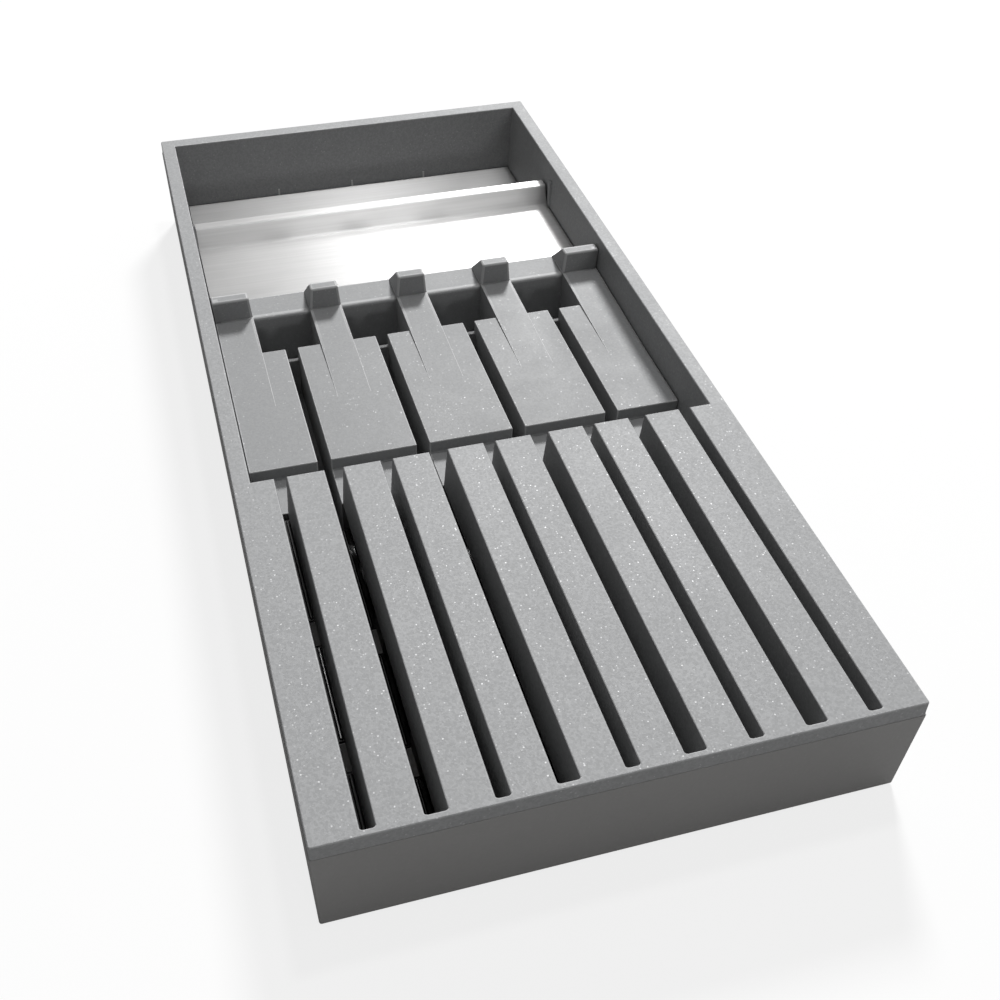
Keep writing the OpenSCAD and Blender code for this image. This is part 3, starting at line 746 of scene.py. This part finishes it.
def makeSteelTray(values):
    path = sheetPath(values)
    shape = bmesh.new()
    rows = []
    for side in (-1, 1):
        outline = [point for point, _ in path]
        outline += [point - normal * values["thickness"] for point, normal in reversed(path)]
        row = []
        for y, z in outline:
            reach = min(values["halfWidth"], values["sideFoot"] + values["sideLean"] * z)
            row.append(shape.verts.new(Vector((side * reach, y, z)) * mm))
        rows.append(row)
    left, right = rows
    count = len(left)
    for i in range(count):
        k = (i + 1) % count
        shape.faces.new((left[i], right[i], right[k], left[k]))
    half = count // 2
    for row, flip in ((left, False), (right, True)):
        for i in range(half - 1):
            face = [row[i], row[i + 1], row[count - 2 - i], row[count - 1 - i]]
            shape.faces.new(face[::-1] if flip else face)
    bmesh.ops.recalc_face_normals(shape, faces=shape.faces)
    weights = shape.edges.layers.float.new("bevel_weight_edge")
    for edge in shape.edges:
        if math.degrees(edge.calc_face_angle(0)) > values["sharpFrom"]:
            edge[weights] = 1.0
    piece = linkPiece("steelTray", toMesh(shape, "steelTray"), traySteel)
    roundEdges(piece, values["edgeRounding"] * mm, segments=2)
    # the map's U follows the sheet from front to back, and V its width
    mesh = piece.data
    sheetMap = mesh.uv_layers.new(name="sheetMap")
    for loop in mesh.loops:
        place = mesh.vertices[loop.vertex_index].co
        along = place.y * values["mapAlong"] + place.z * values["mapDown"]
        sheetMap.data[loop.index].uv = (along, place.x * values["mapAlong"])
    register(piece, "steel_tray")


makeSteelTray(trayValues)
print("steel tray ready")

# Geometry trees: parts repeated at places, and the rods that blades lie on


def startTree(name, inputs):
    return startGroup(name, [("Places", "NodeSocketGeometry", None), *inputs],
                      [("Made", "NodeSocketGeometry")], "GeometryNodeTree")


def finishTree(tree, given, result, part, turn=None):
    # puts the part at each place, in the given material
    inputs = {"Points": given["Places"], "Instance": part}
    if turn is not None:
        inputs["Rotation"] = turn
    placed = addNode(tree, "GeometryNodeInstanceOnPoints", inputs)
    real = addNode(tree, "GeometryNodeRealizeInstances", {"Geometry": placed.outputs[0]})
    coloured = addNode(tree, "GeometryNodeSetMaterial",
                       {"Geometry": real.outputs[0], "Material": given["Material"]})
    tree.links.new(coloured.outputs[0], result["Made"])


def makeRodTree():
    # a rod along Y with round ends at each place: a sphere whose halves are drawn apart
    tree, given, result = startTree("bladeRods", [
        ("Radius", "NodeSocketFloat", 0.0006), ("Length", "NodeSocketFloat", 0.04),
        ("Material", "NodeSocketMaterial", None)])
    ball = addNode(tree, "GeometryNodeMeshUVSphere",
                   {"Segments": 20, "Rings": 11, "Radius": given["Radius"]})
    position = tree.nodes.new("GeometryNodeInputPosition").outputs[0]
    place = addNode(tree, "ShaderNodeSeparateXYZ", {0: position})
    side = mathNode(tree, "SIGN", place.outputs[2])
    reach = mathNode(tree, "SUBTRACT", mathNode(tree, "MULTIPLY", given["Length"], 0.5),
                     given["Radius"])
    offset = addNode(tree, "ShaderNodeCombineXYZ", {2: mathNode(tree, "MULTIPLY", side, reach)})
    drawn = addNode(tree, "GeometryNodeSetPosition",
                    {"Geometry": ball.outputs["Mesh"], "Offset": offset.outputs[0]})
    laid = addNode(tree, "GeometryNodeTransform",
                   {"Geometry": drawn.outputs[0], "Rotation": (math.pi / 2, 0, 0)})
    smooth = addNode(tree, "GeometryNodeSetShadeSmooth", {"Geometry": laid.outputs[0]})
    finishTree(tree, given, result, smooth.outputs[0])
    return tree


def makePlacingTree():
    # copies of one part, each turned by its own seeded angle
    tree, given, result = startTree("partsAtPlaces", [
        ("Part", "NodeSocketObject", None), ("Turn Spread", "NodeSocketFloat", 0.0),
        ("Seed", "NodeSocketInt", 1), ("Material", "NodeSocketMaterial", None)])
    part = addNode(tree, "GeometryNodeObjectInfo", {"Object": given["Part"]})
    spread = addNode(tree, "FunctionNodeRandomValue", {"Min": 0.0, "Seed": given["Seed"]},
                     data_type="FLOAT")
    tree.links.new(given["Turn Spread"], spread.inputs[3])
    turn = addNode(tree, "ShaderNodeCombineXYZ", {2: spread.outputs[1]})
    finishTree(tree, given, result, part.outputs["Geometry"], turn.outputs[0])
    return tree


def setInput(modifier, label, value):
    for item in modifier.node_group.interface.items_tree:
        if item.item_type == "SOCKET" and item.in_out == "INPUT" and item.name == label:
            modifier[item.identifier] = value


def growPiece(name, places, tree, material, inputs):
    mesh = bpy.data.meshes.new(name)
    mesh.from_pydata([Vector(place) * mm for place in places], [], [])
    piece = linkPiece(name, mesh, material)
    grown = piece.modifiers.new("grown", "NODES")
    grown.node_group = tree
    for label, value in {**inputs, "Material": material}.items():
        setInput(grown, label, value)
    settle(piece)
    if not piece.data.materials:
        piece.data.materials.append(material)
    return piece


rodTree = makeRodTree()
placingTree = makePlacingTree()

# Blade beds: a low web with a rail under each slot, and two rods on each rail

bedValues = {
    "pitch": 18.1, "sideSlots": 4, "narrow": 4.2, "wide": 6.4, "web": 1.6, "seat": 2.8,
    "edge": 85.13, "narrowTop": 19.95, "wideTop": 10.45, "rodRadius": 0.7, "rodIn": 1.15,
    "rodGap": 0.5, "rounding": 0.25, "rodHighlightFrom": 0.75, "rodHighlightAbove": 15.0,
    "rodHighlight": {"bladeBedRear": 0.15, "bladeBedMiddle": 1.0, "bladeBedFront": 0.2},
}


def bedOutline(values):
    points = [(-values["edge"], values["seat"]), (-values["edge"], values["seat"] + values["web"])]
    for k in range(-values["sideSlots"], values["sideSlots"] + 1):
        wide = k % 2 == 1
        half = ((values["wide"] if wide else values["narrow"]) + values["web"]) / 2
        top = values["wideTop"] if wide else values["narrowTop"]
        x = k * values["pitch"]
        points += [(x - half, values["seat"] + values["web"]), (x - half, top),
                   (x + half, top), (x + half, values["seat"] + values["web"])]
    points += [(values["edge"], values["seat"] + values["web"]), (values["edge"], values["seat"])]
    return points


def makeBed(nodeName, pieceName, values):
    low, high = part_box(nodeName)
    outline = bedOutline(values)
    shape = bmesh.new()
    ends = [[shape.verts.new(Vector((x * mm, y, z * mm))) for x, z in outline]
            for y in (low.y, high.y)]
    count = len(outline)
    for i in range(count):
        k = (i + 1) % count
        shape.faces.new((ends[0][i], ends[0][k], ends[1][k], ends[1][i]))
    for end in ends:
        shape.faces.new(end)
    bmesh.ops.recalc_face_normals(shape, faces=shape.faces)
    weighEdges(shape, values["rounding"] * mm,
               lambda middle, way, convex: values["rounding"] if convex else 0.0)
    piece = linkPiece(pieceName, toMesh(shape, pieceName), bedBlack)
    roundEdges(piece, values["rounding"] * mm, segments=2)
    register(piece, nodeName)
    places = []
    for k in range(-values["sideSlots"], values["sideSlots"] + 1):
        wide = k % 2 == 1
        reach = (values["wide"] if wide else values["narrow"]) / 2 - values["rodIn"]
        for side in (-1, 1):
            places.append((k * values["pitch"] + side * reach, (low.y + high.y) / 2 / mm,
                           values["wideTop"] if wide else values["narrowTop"]))
    rods = growPiece(pieceName + "Rods", places, rodTree, bedBlack, {
        "Radius": values["rodRadius"] * mm,
        "Length": high.y - low.y - 2 * values["rodGap"] * mm})
    # painted highlight along the rods' tops, strongest on the middle bed
    rodHighlight = []
    for face in rods.data.polygons:
        onTop = face.normal.z > values["rodHighlightFrom"]
        raised = face.center.z > values["rodHighlightAbove"] * mm
        rodHighlight.append(values["rodHighlight"][pieceName] * float(onTop and raised))
    rods.data.attributes.new("rubShare", "FLOAT", "FACE").data.foreach_set("value", rodHighlight)
    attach(rods, frame["nodes"][nodeName]["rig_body"])


for nodeName, pieceName in (("blade_bed_rear", "bladeBedRear"),
                            ("blade_bed_middle", "bladeBedMiddle"),
                            ("blade_bed_front", "bladeBedFront")):
    makeBed(nodeName, pieceName, bedValues)
print("blade beds ready")

# Feet and screws


def lathe(name, profile, steps, material):
    # turns a profile of (radius, height) points round the Z axis
    shape = bmesh.new()
    rings = []
    for radius, height in profile:
        if radius == 0:
            rings.append([shape.verts.new((0, 0, height * mm))])
            continue
        rings.append([shape.verts.new((radius * mm * math.cos(2 * math.pi * i / steps),
                                       radius * mm * math.sin(2 * math.pi * i / steps),
                                       height * mm)) for i in range(steps)])
    for first, second in zip(rings, rings[1:]):
        for i in range(steps):
            k = (i + 1) % steps
            corners = [first[i % len(first)], first[k % len(first)],
                       second[k % len(second)], second[i % len(second)]]
            corners = list(dict.fromkeys(corners))
            shape.faces.new(corners)
    bmesh.ops.recalc_face_normals(shape, faces=shape.faces)
    return linkPiece(name, toMesh(shape, name), material)


footValues = {"radius": 6.0, "thickness": 1.4, "rounding": 0.35, "grooves": (2.2, 4.1),
              "grooveHalf": 0.35, "grooveDepth": 0.2, "x": 70.5, "y": 177.0, "steps": 48,
              "turnSpread": 6.0}


def makeFeet(values):
    profile = [(0, 0)]
    for radius in values["grooves"]:
        profile += [(radius - values["grooveHalf"], 0),
                    (radius - values["grooveHalf"] / 2, values["grooveDepth"]),
                    (radius + values["grooveHalf"] / 2, values["grooveDepth"]),
                    (radius + values["grooveHalf"], 0)]
    for turn in quarterRound:
        profile.append((values["radius"] - values["rounding"] * (1 - math.sin(turn)),
                        values["rounding"] * (1 - math.cos(turn))))
    profile += [(values["radius"], values["thickness"]), (0, values["thickness"])]
    pad = lathe("footPad", profile, values["steps"], footRubber)
    places = [(sx * values["x"], sy * values["y"], 0) for sx in (-1, 1) for sy in (-1, 0, 1)]
    feet = growPiece("nonSlipFeet", places, placingTree, footRubber,
                     {"Part": pad, "Turn Spread": values["turnSpread"], "Seed": 3})
    bpy.data.objects.remove(pad)
    smoothShade(feet, angle=30)
    register(feet, "non_slip_feet")


screwValues = {
    "head": 2.8, "headFoot": 16.45, "headTop": 17.85, "dome": 0.55, "domeSteps": 5,
    "shank": 1.4, "tip": 27.15, "thread": 0.22, "pitch": 0.9, "steps": 36,
    # the last turns, counted in pitches from the tip
    "threadEnd": 2.2, "taperFrom": 1.6, "taperShares": (0.9, 0.45),
    "crossReach": 1.5, "crossHalf": 0.3, "crossDepth": 1.1, "crossOut": 0.5,
    "crossShares": (1.15, 0.55), "x": 63.35, "y": (-154.0, -105.5), "turnSpread": 1.5,
}


def makeScrews(values):
    head, foot = values["head"], values["headFoot"]
    profile = [(0, foot)]
    for step in range(1, values["domeSteps"] + 1):
        turn = math.radians(90 * step / values["domeSteps"])
        profile.append((head * math.sin(turn), foot + values["dome"] * (1 - math.cos(turn))))
    profile += [(head, values["headTop"]), (values["shank"], values["headTop"])]
    z = values["headTop"] + values["pitch"]
    while z < values["tip"] - values["threadEnd"] * values["pitch"]:
        profile += [(values["shank"], z),
                    (values["shank"] - values["thread"], z + values["pitch"] / 2)]
        z += values["pitch"]
    thick, thin = (values["shank"] * share for share in values["taperShares"])
    profile += [(thick, values["tip"] - values["taperFrom"] * values["pitch"]),
                (thin, values["tip"]), (0, values["tip"])]
    screw = lathe("screw", profile, values["steps"], screwZinc)
    reach, half = values["crossReach"], values["crossHalf"]
    outline = [(reach, -half), (reach, half), (half, half), (half, reach), (-half, reach),
               (-half, half), (-reach, half), (-reach, -half), (-half, -half), (-half, -reach),
               (half, -reach), (half, -half)]
    shape = bmesh.new()
    rows = []
    heights = (foot - values["crossOut"], foot + values["crossDepth"])
    for z, share in zip(heights, values["crossShares"]):
        rows.append([shape.verts.new((x * share * mm, y * share * mm, z * mm))
                     for x, y in outline])
    loft(shape, rows)
    bmesh.ops.recalc_face_normals(shape, faces=shape.faces)
    cross = linkPiece("cross", toMesh(shape, "cross"), screwZinc)
    cut = screw.modifiers.new("cross", "BOOLEAN")
    cut.operation = "DIFFERENCE"
    cut.object = cross
    cut.solver = "EXACT"
    settle(screw)
    bpy.data.objects.remove(cross)
    places = [(sx * values["x"], y, 0) for sx in (-1, 1) for y in values["y"]]
    screws = growPiece("coverScrews", places, placingTree, screwZinc,
                       {"Part": screw, "Turn Spread": values["turnSpread"], "Seed": 5})
    bpy.data.objects.remove(screw)
    smoothShade(screws, angle=30)
    register(screws, "cover_screws")


makeFeet(footValues)
makeScrews(screwValues)
print("feet and screws ready")

# Stage: floor, surroundings and lamps

stageValues = {
    "floorSize": 6.0,
    "floorShade": 0.35,      # what the floor gives back to the object
    "floorSeen": 1.0,        # what it shows of the light to the camera
    "floorGlow": 0.8,        # share of the seen floor that is white in the shadow too
    "worldLight": 0.175,
    "key": {"way": (0.49, 1.1, 1.0), "far": 4.0, "size": 0.8, "power": 155.0},
    "low": {"way": (0.33, 1.6, 1.0), "far": 2.4, "size": 0.4, "power": 0.3},
    "front": {"way": (0.17, -0.956, 0.213), "far": 2.4, "size": 0.3, "power": 5.0},
    "glint": {"way": (0.155, 0.15, 0.97), "far": 2.0, "size": 0.2, "power": 7.0},
}


def makeFloor(values):
    shape = bmesh.new()
    bmesh.ops.create_grid(shape, x_segments=1, y_segments=1, size=values["floorSize"] / 2)
    mesh = bpy.data.meshes.new("floor")
    shape.to_mesh(mesh)
    shape.free()
    material = bpy.data.materials.new("paleFloor")
    material.use_nodes = True
    tree = material.node_tree
    tree.nodes.clear()
    path = tree.nodes.new("ShaderNodeLightPath").outputs
    plain = addNode(tree, "ShaderNodeBsdfDiffuse", {0: grey(values["floorShade"])})
    lit = addNode(tree, "ShaderNodeBsdfDiffuse", {0: grey(values["floorSeen"])})
    glow = addNode(tree, "ShaderNodeEmission", {0: grey(1.0), 1: 1.0})
    seen = addNode(tree, "ShaderNodeMixShader", {0: values["floorGlow"]})
    tree.links.new(lit.outputs[0], seen.inputs[1])
    tree.links.new(glow.outputs[0], seen.inputs[2])
    both = addNode(tree, "ShaderNodeMixShader", {0: path["Is Camera Ray"]})
    tree.links.new(plain.outputs[0], both.inputs[1])
    tree.links.new(seen.outputs[0], both.inputs[2])
    output = tree.nodes.new("ShaderNodeOutputMaterial")
    tree.links.new(both.outputs[0], output.inputs[0])
    floor = linkPiece("floor", mesh, material)


def makeWorld(values):
    world = bpy.data.worlds.new("surroundings")
    bpy.context.scene.world = world
    world.use_nodes = True
    tree = world.node_tree
    tree.nodes.clear()
    path = tree.nodes.new("ShaderNodeLightPath").outputs
    seen = mathNode(tree, "MAXIMUM", path["Is Camera Ray"], mathNode(
        tree, "MAXIMUM", path["Is Glossy Ray"], path["Is Transmission Ray"]))
    strength = addNode(tree, "ShaderNodeMix", {0: seen, 2: values["worldLight"], 3: 1.0},
                       data_type="FLOAT")
    background = addNode(tree, "ShaderNodeBackground", {0: grey(1.0), 1: strength.outputs[0]})
    output = tree.nodes.new("ShaderNodeOutputWorld")
    tree.links.new(background.outputs[0], output.inputs[0])


def makeLamp(name, values):
    data = bpy.data.lights.new(name, "AREA")
    data.shape = "DISK"
    data.size = values["size"]
    data.energy = values["power"]
    lamp = bpy.data.objects.new(name, data)
    way = Vector(values["way"]).normalized()
    lamp.location = way * values["far"]
    lamp.rotation_euler = way.to_track_quat("Z", "Y").to_euler()
    bpy.context.scene.collection.objects.link(lamp)


makeFloor(stageValues)
makeWorld(stageValues)
for lamp in ("key", "low", "front", "glint"):
    makeLamp(lamp + "Lamp", stageValues[lamp])
bpy.context.scene.view_settings.view_transform = "Standard"
print("stage ready")

bpy.context.view_layer.update()
